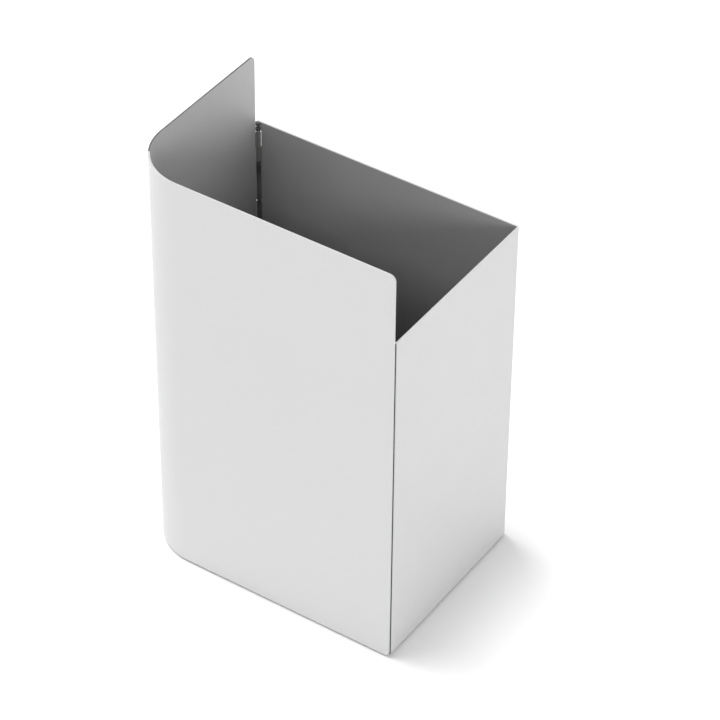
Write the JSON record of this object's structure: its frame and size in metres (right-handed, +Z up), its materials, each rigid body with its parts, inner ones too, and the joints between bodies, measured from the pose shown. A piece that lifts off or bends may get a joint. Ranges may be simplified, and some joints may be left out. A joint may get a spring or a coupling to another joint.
{
  "type": "dog waste bin",
  "caption": "Open-topped sheet-metal waste bin of two L-shaped shells: a low fixed body and a taller hinged wrap-round door, with lock, floor tray and lift-out liner.",
  "frame": {"origin": "on the ground, under the middle of the rectangular plan", "axes": "+Z up; +X right along the tall front wall; +Y from the front wall towards the low back wall"},
  "size_m": [0.38, 0.27, 0.595],
  "materials": {
    "powder_coat": "fine light-grey powder coat on folded steel sheet, mid grey inside",
    "galvanised_sheet": "hot-dip galvanised, satin spangle",
    "liner_coat": "dark grey powder coat on seam-welded steel sheet",
    "zinc_fasteners": "bright zinc plate",
    "hinge_steel": "grey coated steel barrel",
    "pin_steel": "ground stainless steel",
    "bearing_brass": "turned brass",
    "lock_chrome": "satin chrome die casting",
    "black_rubber": "matt moulded EPDM"
  },
  "bodies": {
    "body": {"body_shell": "powder_coat", "floor_tray": "galvanised_sheet", "tray_studs": "zinc_fasteners", "tray_nuts": "zinc_fasteners", "rubber_feet": "black_rubber", "upper_hinge_body_barrel": "hinge_steel", "upper_hinge_washer": "bearing_brass", "upper_hinge_pin": "pin_steel", "lower_hinge_body_barrel": "hinge_steel", "lower_hinge_washer": "bearing_brass", "lower_hinge_pin": "pin_steel", "hinge_gap_seal": "black_rubber", "lock_bracket": "galvanised_sheet", "bracket_studs": "zinc_fasteners", "bracket_nuts": "zinc_fasteners", "lock_barrel": "lock_chrome", "lock_nut": "zinc_fasteners", "door_seal": "black_rubber", "seal_clips": "pin_steel"},
    "door": {"door_shell": "powder_coat", "upper_hinge_door_barrel": "hinge_steel", "lower_hinge_door_barrel": "hinge_steel", "lock_keep": "galvanised_sheet", "keep_studs": "zinc_fasteners", "keep_nuts": "zinc_fasteners"},
    "lock_core": {"lock_core": "lock_chrome", "lock_cam": "galvanised_sheet", "cam_screw": "zinc_fasteners"},
    "liner": {"liner": "liner_coat", "liner_pads": "black_rubber", "liner_lugs": "galvanised_sheet", "lug_rivets": "zinc_fasteners"},
    "handle": {"liner_handle": "pin_steel"}
  },
  "joints": [
    {"name": "door_hinge", "type": "hinge", "parent": "body", "child": "door", "pos_m": [-0.1865, 0.1315, 0.3], "axis": [0, 0, -1], "range_deg": [0, 110]},
    {"name": "lock_turn", "type": "hinge", "parent": "body", "child": "lock_core", "pos_m": [0.168, -0.1, 0.43], "axis": [0, -1, 0], "range_deg": [0, 90]},
    {"name": "liner_lift", "type": "slide", "parent": "body", "child": "liner", "axis": [0, 0, 1], "range_m": [0, 0.45]},
    {"name": "handle_swing", "type": "hinge", "parent": "liner", "child": "handle", "pos_m": [0, 0.02, 0.2278], "axis": [1, 0, 0], "range_deg": [0, 180]}
  ]
}
